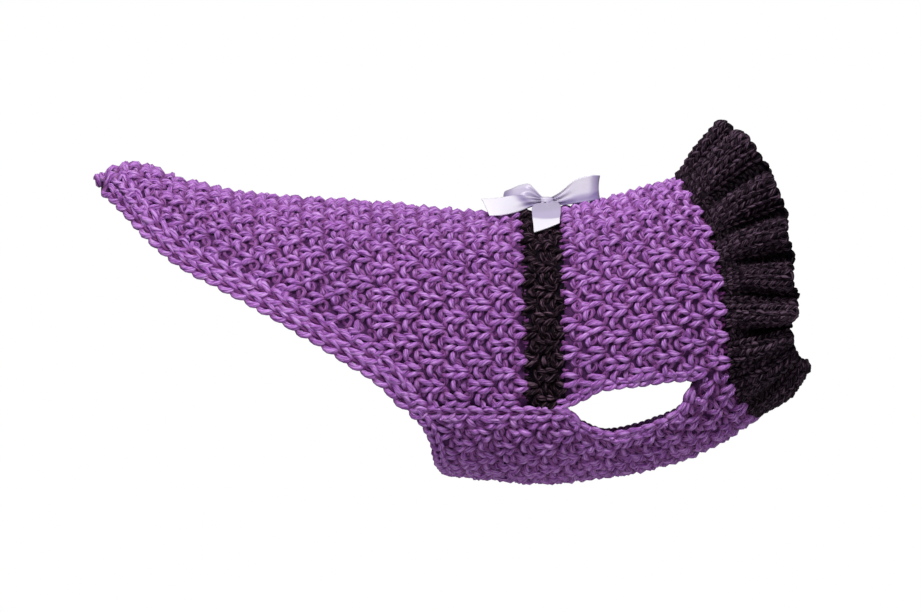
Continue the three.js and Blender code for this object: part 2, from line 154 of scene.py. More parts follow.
def readGrid(field, i, j):
    iLow, jLow = i.astype(int), j.astype(int)
    iPart, jPart = (i - iLow)[..., None], (j - jLow)[..., None]
    low = mix(field[iLow, jLow], field[iLow, jLow + 1], jPart)
    high = mix(field[iLow + 1, jLow], field[iLow + 1, jLow + 1], jPart)
    return mix(low, high, iPart)


def bodyPoint(x, angle):  # angle 0 is the spine, 90 the far side, 180 the belly, 270 the near side
    x, angle = together(x, angle)
    across, rise = np.sin(np.radians(angle)), np.cos(np.radians(angle))
    power = np.where(rise >= 0, 2, bellyPower(x))
    height = np.where(rise >= 0, upper(x), lower(x))
    reach = (np.abs(rise / height) ** power + np.abs(across / halfWidth(x)) ** power) ** (-1 / power)
    return np.stack([x, reach * across, top(x) - upper(x) + reach * rise], -1)


normalProbe = {"angle": 0.5, "x": 0.5, "slopeShare": 0.6}


def bodyNormal(x, angle):
    x, angle = together(x, angle)
    turn, step = normalProbe["angle"], normalProbe["x"]
    around = bodyPoint(x, angle + turn) - bodyPoint(x, angle - turn)
    along = bodyPoint(x + step, angle) - bodyPoint(x - step, angle)
    along[..., 1:] *= normalProbe["slopeShare"]
    return -unit(np.cross(around, along))


def angleAt(x, z):
    x = np.asarray(x, float)
    rise = z - (top(x) - upper(x))
    power = np.where(rise >= 0, 2, bellyPower(x))
    share = np.minimum(1, np.abs(rise / np.where(rise >= 0, upper(x), lower(x))))
    return np.degrees(np.arctan2(halfWidth(x) * (1 - share ** power) ** (1 / power), rise))


def fromSpine(angle):
    return np.abs((np.asarray(angle, float) + 540) % 360 - 180)


def edgeReader(rows, firstAngle=None):
    angles = angleAt([row[0] for row in rows], np.array([row[1] for row in rows], float))
    angles[-1] = 180
    if firstAngle is not None:
        angles[0] = firstAngle
    column = smoothColumn(angles, [row[0] for row in rows])
    return lambda angle: column(fromSpine(angle))


def heightReader(rows):
    column = smoothColumn([row[0] for row in rows], [row[1] for row in rows])
    return lambda x: angleAt(x, column(x))


neckX = edgeReader(neckSeam, 0)
bellyHemX = edgeReader(bellyHem)


def bandTailSide(angle):
    return bandEdges["tailSide"] + bandEdges["tailSideLean"] * (fromSpine(angle) / 180) ** 2


def bandHeadSide(angle):
    return bandEdges["headSide"] + bandEdges["headSideLean"] * (fromSpine(angle) / 180) ** 2


sideSeamHeight = -79.0
sideSeamAngle = angleAt(0, sideSeamHeight)
bandTailCorner, bandHeadCorner = bandTailSide(sideSeamAngle), bandHeadSide(sideSeamAngle)

# The knitted panels. gauge is one stitch's width, rows the number of courses, edging what the
# border along the side edge takes up, trim what the edge is cut back by, and wales the stitches
# a side where the panel fans out. The far entries hold for the far side only.
backCloth = {"edge": heightReader(backHem), "underside": False, "gauge": 5.8, "loopHeight": 1.62}
rearPanel = {
    **backCloth, "start": lambda angle: -187.0 + 0 * fromSpine(angle), "end": bandTailSide,
    "edgeFrom": -187.0, "edgeTo": bandTailCorner, "rows": 37, "wales": 0, "depth": 1.35, "shift": 0,
    "edging": lambda x: 9.8 - 8.8 * smoothStep(x, -62, -51),
}
bandPanel = {
    **backCloth, "start": bandTailSide, "end": bandHeadSide, "edgeFrom": bandTailCorner,
    "edgeTo": bandHeadCorner, "rows": 4, "wales": 19, "depth": 1.25, "shift": 37, "edging": lambda x: 0.0,
}
yokePanel = {
    **backCloth, "start": bandHeadSide, "end": neckX, "edge": heightReader(yokeEdge),
    "edgeFrom": bandHeadCorner, "edgeTo": 78.8, "rows": 13, "wales": 19, "depth": 1.35, "shift": 41,
    "edging": lambda x: 1.4 * (x < 62),
    "shoulder": {"rise": 1.8, "fromRow": 6.5, "toRow": 12.5, "reach": 26.0},
}
bellyPanel = {
    "start": bellyHemX, "end": neckX, "edge": heightReader(bellyEdge),
    "edgeFrom": -53.9, "edgeTo": 78.8, "underside": True,
    "rows": 30, "gauge": 6.7, "wales": 0, "edging": lambda x: 3.6 - 2.2 * smoothStep(x, 4, 12),
    "trim": lambda x: (1.7 * smoothStep(x, 6, 13) - 1.2 * smoothStep(x, 57, 62)
                       - 1.4 * smoothStep(x, 62.5, 66)),
    "farTrim": lambda x: 1.0 * smoothStep(x, 16, 32) * (1 - smoothStep(x, 62, 68)),
    "farShift": lambda x: 7.0 * smoothStep(x, 24, 46),
    "farInset": lambda x: 1.2 * smoothStep(x, 4, 12) * (1 - smoothStep(x, 60, 68)),
    "loopHeight": 1.7, "depth": 1.15, "shift": 0,
}
cloth = {
    "middle": 1.4, "yarnRadius": 1.1, "sizeWander": 0.08, "placeWander": 0.26, "plump": 0.14, "fitted": 7,
}
# How finely a panel is laid out, and how far past its own edges
layout = {
    "rowStep": 0.5, "acrossStep": 1.0, "reach": 150.0, "spareRows": 2.0, "spareTurn": 25.0, "turns": 241,
    "bendLimit": 1.12, "bendPower": 3,
}


def layPanel(panel):
    spareRows, spareTurn = layout["spareRows"], layout["spareTurn"]
    lines = np.arange(-spareRows, panel["rows"] + spareRows + 0.01, layout["rowStep"])
    across = np.arange(-layout["reach"], layout["reach"] + 0.01, layout["acrossStep"])
    points, normals, edges, farEdges = [], [], [], []
    trim, farTrim, farShift = [panel.get(key, lambda x: 0.0) for key in ("trim", "farTrim", "farShift")]
    for line in lines:
        along = line / panel["rows"]
        edgeX = mix(panel["edgeFrom"], panel["edgeTo"], along)
        edgeAngle = float(panel["edge"](edgeX))
        half = 180 - edgeAngle if panel["underside"] else edgeAngle
        turn = np.linspace(-half - spareTurn, half + spareTurn, layout["turns"])
        angle = 180 + turn if panel["underside"] else turn
        bend = edgeX - mix(panel["start"](edgeAngle), panel["end"](edgeAngle), along)
        x = mix(panel["start"](angle), panel["end"](angle), along)
        x = x + bend * np.clip(np.abs(turn / half), 0, layout["bendLimit"]) ** layout["bendPower"]
        place = bodyPoint(x, angle)
        arc = arcLength(place)
        arc = arc - arc[layout["turns"] // 2]
        points.append(readAlong(place, arc, across))
        normals.append(readAlong(bodyNormal(x, angle), arc, across))
        edges.append(np.interp(half, turn, arc) - trim(edgeX))
        farAngle = float(panel["edge"](edgeX - farShift(edgeX)))
        farHalf = min(half, 180 - farAngle) if panel["underside"] else half
        farEdges.append(np.interp(farHalf, turn, arc) - trim(edgeX) - farTrim(edgeX))
    return dict(panel, lines=lines, across=across, points=np.array(points), normals=np.array(normals),
                edges=np.array(edges), farEdges=np.array(farEdges))


def placeOn(laid, row, across, lift):  # lift is measured outwards from the middle of the cloth
    row, across = together(row, across)
    i = np.clip((row - laid["lines"][0]) / layout["rowStep"], 0, len(laid["lines"]) - 1.001)
    j = np.clip((across - laid["across"][0]) / layout["acrossStep"], 0, len(laid["across"]) - 1.001)
    if "shoulder" in laid:
        s = laid["shoulder"]
        ridge = np.exp(-(across / s["reach"]) ** 2)
        lift = lift + s["rise"] * smoothStep(row, s["fromRow"], s["toRow"]) * ridge
    outwards = np.asarray(lift, float)[..., None] - cloth["middle"]
    return readGrid(laid["points"], i, j) + unit(readGrid(laid["normals"], i, j)) * outwards


def edgeAcross(laid, row, far=False):
    return np.interp(row, laid["lines"], laid["farEdges" if far else "edges"])


rear, band, yoke, belly = [layPanel(p) for p in (rearPanel, bandPanel, yokePanel, bellyPanel)]
print("panels laid out")

# One stitch: how far the yarn swings sideways, and how far out it lies at eight places
loopShape = {
    "swing": 0.26, "sinker": 0.9, "foot": 0.4, "leg": 1.0, "toe": 0.1, "dip": -0.45, "head": 1.0,
    "bumpHead": 0.5, "purlFoot": -0.35, "purlToe": -0.4,
    "firstHead": -1.2, "lastSinker": -1.5, "lastFoot": -0.7,
}
swing = loopShape["swing"]
loopPlaces = np.array([0, 0.125 + swing, 0.25, 0.375 - swing, 0.5, 0.625 + swing, 0.75, 0.875 - swing])
loopRise = np.cos(2 * np.pi * np.arange(8) / 8) / 2  # worked from the neck to the tail


def stitchSign(course, wale):
    return np.where((np.asarray(wale) + course // 2) % 2 == 0, 1.0, -1.0)


def courseEdges(laid, course, far=False):
    end = edgeAcross(laid, course + 0.5, far)
    end -= laid["edging"](mix(laid["edgeFrom"], laid["edgeTo"], (course + 0.5) / laid["rows"]))
    if laid["wales"]:
        return end * (np.arange(laid["wales"] + 1) + 0.5) / (laid["wales"] + 0.5)
    count = max(0, int(round(end / laid["gauge"] - 0.5)))
    k = np.arange(count + 1)
    plain = laid["gauge"] * (k + 0.5)
    fitted = min(cloth["fitted"], count)
    stretch = smoothStep(k, count - fitted - 0.5, count) if count else np.ones(1)
    return plain + (end - plain[-1]) * stretch


def withLift(path, depth):
    return np.concatenate([path, np.asarray(depth, float)[:, None]], axis=1)


def loopDepths(sign, before, foot, toe, head):
    depth = np.zeros((len(sign), 8))
    depth[:, 0] = -0.5 * (sign + before) * loopShape["sinker"]
    depth[:, 1] = depth[:, 7] = foot
    depth[:, 2] = depth[:, 6] = loopShape["leg"] * sign
    depth[:, 3] = depth[:, 5] = toe
    depth[:, 4] = head
    return depth


def knitCourse(laid, course):
    farBorders, nearBorders = courseEdges(laid, course, True), courseEdges(laid, course)
    borders = np.concatenate([-farBorders[::-1], nearBorders])
    count = len(borders) - 1
    wale = np.arange(count) - (len(farBorders) - 1)
    sign = stitchSign(course + laid["shift"], wale)
    above = stitchSign(course + laid["shift"] - 1, wale)
    before = np.concatenate([sign[:1], sign[:-1]])
    rise = loopRise * laid["loopHeight"]
    foot = np.where(sign > 0, -loopShape["foot"], loopShape["purlFoot"])
    toe = np.where(sign == above, loopShape["toe"], loopShape["dip"])
    toe = np.where(sign > 0, toe, loopShape["purlToe"])
    head = np.where(sign == above, -loopShape["head"], loopShape["bumpHead"]) * sign
    depth = loopDepths(sign, before, foot, toe, head)
    if course == 0:
        depth[:, 4] = loopShape["firstHead"]
    if course == laid["rows"] - 1:
        depth[:, 0] = loopShape["lastSinker"]
        depth[:, 1] = depth[:, 7] = loopShape["lastFoot"]
    size = 1 + dice.normal(0, cloth["sizeWander"], count)
    across = borders[:-1, None] + loopPlaces * np.diff(borders)[:, None]
    row = course + 0.5 + rise * size[:, None]
    across = np.append(across.ravel(), borders[-1])
    row = np.append(row.ravel(), course + 0.5 + rise[0])
    depth = np.append(depth.ravel(), -loopShape["sinker"] * sign[-1])
    path = placeOn(laid, row, across, depth * laid["depth"])
    return withLift(path + dice.normal(0, cloth["placeWander"], path.shape), depth)


def knitPanel(laid, first, last):
    return [knitCourse(laid, course) for course in range(first, last)]


# A chain wale along an edge: forwards is a share of the stitch length, sideways of the wale width
chainShape = [
    (0.0, 0.0, -0.9), (0.32, -0.2, 0.35), (0.8, -0.46, 0.6), (1.24, -0.3, -0.5),
    (1.24, 0.3, -0.5), (0.8, 0.46, 0.6), (0.32, 0.2, 0.35), (0.3, 0.03, -1.1),
]
chainYarn = {"lift": 0.3, "wander": 0.12}
trackForm = {"points": 121, "steepest": 2.2}


def chainAlong(points, normals, c):
    arc = arcLength(points)
    at = np.linspace(0, arc[-1], max(2, int(round(arc[-1] / c["pitch"]))) + 1)
    step = at[1]
    tangents = unit(np.gradient(points, axis=0))
    path, lifts = [], []
    for start in at[:-1]:
        for forwards, sideways, depth in chainShape:
            s = start + forwards * step
            centre, facing, ahead = [readAlong(field, arc, s) for field in (points, normals, tangents)]
            facing, ahead = unit(facing), unit(ahead)
            beyond = max(0.0, s - arc[-1])
            aside = np.cross(facing, ahead) * sideways * c["width"]
            path.append(centre + ahead * beyond + aside + facing * (c["lift"] + depth * c["deep"]))
            # the lift number sets how thick the yarn is and, as painted shade, how dark
            lifts.append(depth + chainYarn["lift"])
    path = np.array(path)
    return withLift(path + dice.normal(0, chainYarn["wander"], path.shape), lifts)


def cordAlong(points, normals, c):  # two strands laid round each other
    arc = arcLength(points)
    at = np.arange(0, arc[-1], c["pitch"] / c["steps"])
    tangents = unit(np.gradient(points, axis=0))
    centre, facing, ahead = [readAlong(field, arc, at) for field in (points, normals, tangents)]
    aside = np.cross(facing, ahead)
    strands = []
    for phase in (0, np.pi):
        turn = (2 * np.pi * at / c["pitch"] + phase)[:, None]
        strand = centre + c["reach"] * (np.cos(turn) * facing + np.sin(turn) * aside)
        strands.append(withLift(strand + dice.normal(0, c["wander"], strand.shape), 0 * at + c["lift"]))
    return strands


def edgeTrack(laid, side, c):
    rows = np.linspace(c["from"], c["to"], trackForm["points"])
    edge = edgeAcross(laid, rows, side < 0)
    x = placeOn(laid, rows, edge, 0 * rows)[:, 0]
    slope = np.gradient(edge) / np.where(np.abs(np.gradient(x)) < 1e-6, 1e-6, np.gradient(x))
    factor = np.minimum(np.sqrt(1 + slope ** 2), trackForm["steepest"])
    across = edge - np.minimum(c["inset"] * factor, edge * c["limit"])
    points = placeOn(laid, rows, side * across, 0 * rows)
    outer = placeOn(laid, rows, side * across, 1 + 0 * rows)
    return points, unit(outer - points)


# Yarn tubes along the paths
yarnForm = {"sides": 6, "smoothSteps": 2, "girthWander": 0.05}


def yarnTree():
    tree = bpy.data.node_groups.new("yarnTube", "GeometryNodeTree")
    for name, way, kind in [("Geometry", "OUTPUT", "Geometry"), ("Geometry", "INPUT", "Geometry"),
                            ("yarnRadius", "INPUT", "Float"), ("sides", "INPUT", "Int"),
                            ("smoothSteps", "INPUT", "Int"), ("yarn", "INPUT", "Material")]:
        tree.interface.new_socket(name, in_out=way, socket_type="NodeSocket" + kind)
    nodes = tree.nodes
    start, end = nodes.new("NodeGroupInput"), nodes.new("NodeGroupOutput")
    toCurve, spline, steps, runStore, tube, shade, real, paint = [
        nodes.new("GeometryNode" + kind) for kind in (
            "MeshToCurve", "CurveSplineType", "SetSplineResolution", "StoreNamedAttribute", "CurveToMesh",
            "SetShadeSmooth", "RealizeInstances", "SetMaterial")]
    parameter, circle, roundStore, position, girth = [
        nodes.new("GeometryNode" + kind) for kind in (
            "SplineParameter", "CurvePrimitiveCircle", "StoreNamedAttribute", "InputPosition",
            "InputNamedAttribute")]
    spline.spline_type = "CATMULL_ROM"
    runStore.inputs["Name"].default_value = "run"
    roundStore.data_type = "FLOAT_VECTOR"
    roundStore.inputs["Name"].default_value = "around"
    direction = nodes.new("ShaderNodeVectorMath")
    direction.operation = "NORMALIZE"
    girth.inputs["Name"].default_value = "girth"
    tube.inputs["Fill Caps"].default_value = True
    trunk = [start, toCurve, spline, steps, runStore, tube, shade, real, paint, end]
    for source, output, target, entry in [(a, 0, b, 0) for a, b in zip(trunk, trunk[1:])] + [
            (start, "smoothSteps", steps, "Resolution"), (parameter, "Length", runStore, "Value"),
            (start, "sides", circle, "Resolution"), (start, "yarnRadius", circle, "Radius"),
            (circle, "Curve", roundStore, "Geometry"), (position, "Position", direction, "Vector"),
            (direction, "Vector", roundStore, "Value"), (roundStore, "Geometry", tube, "Profile Curve"),
            (girth, "Attribute", tube, "Scale"), (start, "yarn", paint, "Material")]:
        tree.links.new(source.outputs[output], target.inputs[entry])
    return tree


yarnTube = yarnTree()


def storeNumbers(mesh, name, values):  # one number a point
    mesh.attributes.new(name, "FLOAT", "POINT").data.foreach_set("value", values.astype(np.float32))


def spinYarn(name, paths, material, radius=cloth["yarnRadius"]):
    joined = np.concatenate(paths)
    verts, lifts = joined[:, :3] * mm, joined[:, 3]
    edges, start = [], 0
    for path in paths:
        k = np.arange(start, start + len(path) - 1)
        edges.append(np.stack([k, k + 1], -1))
        start += len(path)
    mesh = bpy.data.meshes.new(name + "Path")
    mesh.from_pydata(verts.tolist(), np.concatenate(edges).tolist(), [])
    wander = dice.normal(0, yarnForm["girthWander"], len(verts))
    storeNumbers(mesh, "girth", 1 + cloth["plump"] * lifts + wander)
    # The lift number also darkens the yarn where it dives below the cloth: painted shade.
    storeNumbers(mesh, "lift", lifts)
    guide = placeObject(name + "Path", mesh)
    modifier = guide.modifiers.new("yarnTube", "NODES")
    modifier.node_group = yarnTube
    values = dict(yarnForm, yarnRadius=radius * mm, yarn=material)
    for item in yarnTube.interface.items_tree:
        if item.item_type == "SOCKET" and item.in_out == "INPUT" and item.name in values:
            modifier[item.identifier] = values[item.name]
    bpy.context.view_layer.update()
    made = bpy.data.meshes.new_from_object(guide.evaluated_get(bpy.context.evaluated_depsgraph_get()))
    bpy.data.objects.remove(guide)
    bpy.data.meshes.remove(mesh)
    made.name = name
    if not made.materials:
        made.materials.append(material)
    return placeObject(name, made)


def sheetMesh(name, outer, inner, ring, material):
    verts = np.concatenate([outer.reshape(-1, 3), inner.reshape(-1, 3)]) * mm
    count = outer.shape[0] * outer.shape[1]
    o = np.arange(count).reshape(outer.shape[:2])
    if ring:
        o = np.concatenate([o, o[:1]])
    n = o + count
    strips = [(o[:-1, :-1], o[1:, :-1], o[1:, 1:], o[:-1, 1:]),
              (n[:-1, :-1], n[:-1, 1:], n[1:, 1:], n[1:, :-1]),
              (o[1:, 0], o[:-1, 0], n[:-1, 0], n[1:, 0]), (o[:-1, -1], o[1:, -1], n[1:, -1], n[:-1, -1])]
    if not ring:
        strips += [(o[0, :-1], o[0, 1:], n[0, 1:], n[0, :-1]), (o[-1, 1:], o[-1, :-1], n[-1, :-1], n[-1, 1:])]
    faces = np.concatenate([np.stack([corner.ravel() for corner in strip], -1) for strip in strips])
    a, b, c, d = [verts[faces[:, k]] for k in range(4)]
    volume = np.einsum("ij,ij->", a, np.cross(b, c)) + np.einsum("ij,ij->", a, np.cross(c, d))
    if volume < 0:
        faces = faces[:, ::-1]
    mesh = bpy.data.meshes.new(name)
    mesh.from_pydata(verts.tolist(), [], faces.tolist())
    mesh.polygons.foreach_set("use_smooth", [True] * len(faces))
    mesh.materials.append(material)
    return placeObject(name, mesh)


def mathNode(group, operation, first, second=None):
    node = group.nodes.new("ShaderNodeMath")
    node.operation = operation
    for index, value in enumerate([first, second]):
        if value is None:
            continue
        if isinstance(value, (int, float)):
            node.inputs[index].default_value = value
        else:
            group.links.new(value, node.inputs[index])
    return node.outputs[0]


def setInputs(node, values):
    for name, value in values.items():
        node.inputs[name].default_value = value


def noiseNode(tree, scale, detail, vector):
    node = tree.nodes.new("ShaderNodeTexNoise")
    setInputs(node, {"Scale": scale, "Detail": detail})
    tree.links.new(vector, node.inputs["Vector"])
    return node


def newMaterial(name):
    material = bpy.data.materials.new(name)
    material.use_nodes = True
    return material, material.node_tree.nodes["Principled BSDF"]


def finishMaterial(material, shader, colour, height, look):
    tree = material.node_tree
    bump = tree.nodes.new("ShaderNodeBump")
    setInputs(bump, {"Strength": look["bump"], "Distance": look["bumpDepth"] * mm})
    setInputs(shader, look["shader"])
    tree.links.new(colour, shader.inputs["Base Color"])
    tree.links.new(height, bump.inputs["Height"])
    tree.links.new(bump.outputs["Normal"], shader.inputs["Normal"])
    return material


def ramp(tree, factor, stops):
    node = tree.nodes.new("ShaderNodeValToRGB")
    while len(node.color_ramp.elements) < len(stops):
        node.color_ramp.elements.new(0.5)
    for element, (place, colour) in zip(node.color_ramp.elements, stops):
        element.position = place
        element.color = (*colour, 1)
    tree.links.new(factor, node.inputs["Fac"])
    return node.outputs["Color"]


def multiplyColours(tree, first, second):
    node = tree.nodes.new("ShaderNodeMix")
    node.data_type, node.blend_type = "RGBA", "MULTIPLY"
    node.inputs[0].default_value = 1.0
    colours = [s for s in node.inputs if s.type == "RGBA"]
    tree.links.new(first, colours[0])
    tree.links.new(second, colours[1])
    return [s for s in node.outputs if s.type == "RGBA"][0]


# How the plies, the fine streaks and the paler patches lie on the yarn
fibreForm = {
    "streakStretch": 0.17, "streakScale": 1.5, "streakDetail": 3.0, "streakRoughness": 0.65,
    "patchScale": 42.0, "patchDetail": 3.0, "plyHeight": 0.55,
}


def fibreGroup(f):
    group = bpy.data.node_groups.new("yarnFibre", "ShaderNodeTree")
    for way, names in [("INPUT", ("plies", "twist")), ("OUTPUT", ("height", "streak", "groove", "shade"))]:
        for name in names:
            group.interface.new_socket(name, in_out=way, socket_type="NodeSocketFloat")
    nodes, link = group.nodes, group.links.new
    start, end = nodes.new("NodeGroupInput"), nodes.new("NodeGroupOutput")
    around, run = nodes.new("ShaderNodeAttribute"), nodes.new("ShaderNodeAttribute")
    around.attribute_name, run.attribute_name = "around", "run"
    split, place = nodes.new("ShaderNodeSeparateXYZ"), nodes.new("ShaderNodeCombineXYZ")
    link(around.outputs["Vector"], split.inputs[0])
    lengthMm = mathNode(group, "MULTIPLY", run.outputs["Fac"], 1000.0)
    angle = mathNode(group, "ARCTAN2", split.outputs["Y"], split.outputs["X"])
    wound = mathNode(group, "ADD", angle, mathNode(group, "MULTIPLY", lengthMm, start.outputs["twist"]))
    halfPlies = mathNode(group, "MULTIPLY", start.outputs["plies"], 0.5)
    ply = mathNode(group, "SINE", mathNode(group, "MULTIPLY", wound, halfPlies))
    ply = mathNode(group, "ABSOLUTE", ply)
    link(mathNode(group, "COSINE", wound), place.inputs[0])
    link(mathNode(group, "SINE", wound), place.inputs[1])
    link(mathNode(group, "MULTIPLY", lengthMm, f["streakStretch"]), place.inputs[2])
    fine = noiseNode(group, f["streakScale"], f["streakDetail"], place.outputs[0])
    fine.inputs["Roughness"].default_value = f["streakRoughness"]
    spot = nodes.new("ShaderNodeTexCoord")
    patches = noiseNode(group, f["patchScale"], f["patchDetail"], spot.outputs["Object"])
    height = mathNode(group, "ADD", mathNode(group, "MULTIPLY", ply, f["plyHeight"]), fine.outputs["Fac"])
    for name, value in [("height", height), ("streak", fine.outputs["Fac"]), ("groove", ply),
                        ("shade", patches.outputs["Fac"])]:
        link(value, end.inputs[name])
    return group


yarnFibre = fibreGroup(fibreForm)
full = (1.0, 1.0, 1.0)
# In each yarn the streak colours run along the fibres, and the last ramp is painted shade that darkens the
# yarn where its lift number is low.
purpleYarn = {
    "plies": 3.0, "twist": 0.36, "bump": 1.0, "bumpDepth": 0.4,
    "shader": {"Roughness": 0.6, "Sheen Weight": 0.05, "Sheen Roughness": 0.4, "Specular IOR Level": 0.2},
    "streaks": [(0.36, (0.20, 0.045, 0.27)), (0.5, (0.48, 0.185, 0.61)), (0.63, (0.62, 0.335, 0.74))],
    "sunk": [(0.0, (0.27, 0.085, 0.2)), (0.5, (0.6, 0.45, 0.55)), (0.9, full)],
}
blackYarn = {
    "plies": 3.0, "twist": 0.36, "bump": 1.0, "bumpDepth": 0.4,
    "shader": {"Roughness": 0.6, "Specular IOR Level": 0.05},
    "streaks": [(0.36, (0.001, 0.0004, 0.001)), (0.5, (0.011, 0.005, 0.009)), (0.63, (0.15, 0.085, 0.125))],
    "sunk": [(0.0, (0.15, 0.12, 0.14)), (0.5, (0.5, 0.45, 0.48)), (0.9, full)],
}
collarYarn = {
    "plies": 2.0, "twist": 0.5, "bump": 1.0, "bumpDepth": 0.4,
    "shader": {"Roughness": 0.55, "Specular IOR Level": 0.06},
    "streaks": [(0.36, (0.002, 0.0008, 0.002)), (0.5, (0.014, 0.0065, 0.013)), (0.63, (0.13, 0.08, 0.12))],
    "sunk": [(0.0, (0.12, 0.1, 0.12)), (0.5, (0.5, 0.45, 0.48)), (0.9, full)],
}
# The paler patches are a random tone; the darkening in the grooves between the plies is painted shade.
yarnLook = {
    "patches": [(0.3, (0.82, 0.8, 0.84)), (0.7, full)], "grooveShade": [(0.0, (0.5, 0.44, 0.52)), (0.4, full)],
    "liftShadeRange": {"From Min": -1.0, "From Max": 1.0},
}


def yarnMaterial(name, y):
    material, shader = newMaterial(name)
    tree = material.node_tree
    fibre, sunk = tree.nodes.new("ShaderNodeGroup"), tree.nodes.new("ShaderNodeAttribute")
    fibre.node_tree = yarnFibre
    setInputs(fibre, {"plies": y["plies"], "twist": y["twist"]})
    # Painted shade: the yarn is darker where its lift number is low, where the stitch dives.
    sunk.attribute_name = "lift"
    lift = tree.nodes.new("ShaderNodeMapRange")
    setInputs(lift, yarnLook["liftShadeRange"])
    tree.links.new(sunk.outputs["Fac"], lift.inputs["Value"])
    colour = ramp(tree, fibre.outputs["streak"], y["streaks"])
    for factor, stops in [(fibre.outputs["shade"], yarnLook["patches"]),
                          (fibre.outputs["groove"], yarnLook["grooveShade"]),
                          (lift.outputs["Result"], y["sunk"])]:
        colour = multiplyColours(tree, colour, ramp(tree, factor, stops))
    return finishMaterial(material, shader, colour, fibre.outputs["height"], y)


shadeCoreLook = {
    "noiseScale": 320.0, "noiseDetail": 3.0, "darkAt": 0.35, "lightAt": 0.7, "bump": 0.6, "bumpDepth": 0.5,
    "shader": {"Roughness": 0.95, "Specular IOR Level": 0.03},
}


def shadeCoreMaterial(name, dark, light):
    material, shader = newMaterial(name)
    tree = material.node_tree
    spot = tree.nodes.new("ShaderNodeTexCoord")
    noise = noiseNode(tree, shadeCoreLook["noiseScale"], shadeCoreLook["noiseDetail"], spot.outputs["Object"])
    colour = ramp(tree, noise.outputs["Fac"], [(shadeCoreLook["darkAt"], dark), (shadeCoreLook["lightAt"], light)])
    return finishMaterial(material, shader, colour, noise.outputs["Fac"], shadeCoreLook)


# The satin's ramp runs from painted shade through its body colour to painted highlight; the painted shading
# number and the weave pick the colour.
satinRibbon = {
    "shadingColours": [(0.0, (0.20, 0.15, 0.32)), (0.5, (0.43, 0.375, 0.53)), (0.9, (0.80, 0.77, 0.83))],
    "shader": {"Roughness": 0.36, "Anisotropic": 0.6, "Sheen Weight": 0.25}, "threadPitch": 0.35,
    "threadTone": 0.2, "threadStretch": (0.25, 4.0, 1.0), "threadDetail": 2.0, "bump": 0.25, "bumpDepth": 0.1,
}


def satinMaterial(s):
    material, shader = newMaterial("lilacSatin")
    tree = material.node_tree
    across, stretch = tree.nodes.new("ShaderNodeUVMap"), tree.nodes.new("ShaderNodeMapping")
    across.uv_map = "ribbonMap"
    stretch.inputs["Scale"].default_value = s["threadStretch"]
    tree.links.new(across.outputs["UV"], stretch.inputs["Vector"])
    weave = noiseNode(tree, 1.0 / s["threadPitch"], s["threadDetail"], stretch.outputs["Vector"])
    # The painted shading number, set on each piece, picks the colour together with the weave.
    paintedShading = tree.nodes.new("ShaderNodeAttribute")
    paintedShading.attribute_name = "paintedShading"
    threads = mathNode(tree, "MULTIPLY", weave.outputs["Fac"], s["threadTone"])
    threads = mathNode(tree, "SUBTRACT", threads, s["threadTone"] / 2)
    colour = ramp(tree, mathNode(tree, "ADD", threads, paintedShading.outputs["Fac"]), s["shadingColours"])
    return finishMaterial(material, shader, colour, weave.outputs["Fac"], s)


purpleWool = yarnMaterial("purpleWool", purpleYarn)
blackWool = yarnMaterial("blackWool", blackYarn)
collarWool = yarnMaterial("collarWool", collarYarn)
# The dark sheets' colours are painted shade for the gaps between the stitches.
purpleShadeCore = shadeCoreMaterial("purpleShadeCore", (0.035, 0.009, 0.045), (0.09, 0.03, 0.11))
blackShadeCore = shadeCoreMaterial("blackShadeCore", (0.003, 0.002, 0.004), (0.010, 0.007, 0.012))
lilacSatin = satinMaterial(satinRibbon)
print("materials made")

# Linings: a thin dark sheet in the middle of each panel, which the yarn is worked round; its dark colour is
# painted shade, showing in the gaps between the stitches
lining = {"thickness": 0.6, "inset": 0.4, "columns": 44, "rowStep": 0.5, "sunk": 0.4}


def panelShadeLining(name, laid, material, rowFrom=0.0, rowTo=None):
    rows = np.arange(rowFrom, (laid["rows"] if rowTo is None else rowTo) + 0.01, lining["rowStep"])
    side = np.linspace(-1, 1, lining["columns"] + 1)
    extra = laid.get("farInset", lambda x: 0 * x)(mix(laid["edgeFrom"], laid["edgeTo"], rows / laid["rows"]))
    farHalf = edgeAcross(laid, rows, True) - (lining["inset"] + extra)
    nearHalf = edgeAcross(laid, rows) - lining["inset"]
    across = np.where(side < 0, farHalf[:, None], nearHalf[:, None]) * side
    grid = rows[:, None] + 0 * across
    outer, inner = [placeOn(laid, grid, across, half + 0 * across - lining["sunk"])
                    for half in (lining["thickness"] / 2, -lining["thickness"] / 2)]
    return sheetMesh(name, outer, inner, False, material)


rearCore = panelShadeLining("rearShadeLining", rear, purpleShadeCore, 0.4)
bandCore = panelShadeLining("bandShadeLining", band, blackShadeCore)
yokeCore = panelShadeLining("yokeShadeLining", yoke, purpleShadeCore, 0.0, 12.5)
bellyCore = panelShadeLining("bellyShadeLining", belly, purpleShadeCore, 0.1)

rearTailKnit = spinYarn("rearKnitTail", knitPanel(rear, 1, 20), purpleWool)
rearSaddleKnit = spinYarn("rearKnitSaddle", knitPanel(rear, 20, 37), purpleWool)
bandKnit = spinYarn("bandKnit", knitPanel(band, 0, 4), blackWool)
yokeKnit = spinYarn("yokeKnit", knitPanel(yoke, 0, 13), purpleWool)
bellyKnit = spinYarn("bellyKnit", knitPanel(belly, 1, 30), purpleWool)
print("panels knitted")

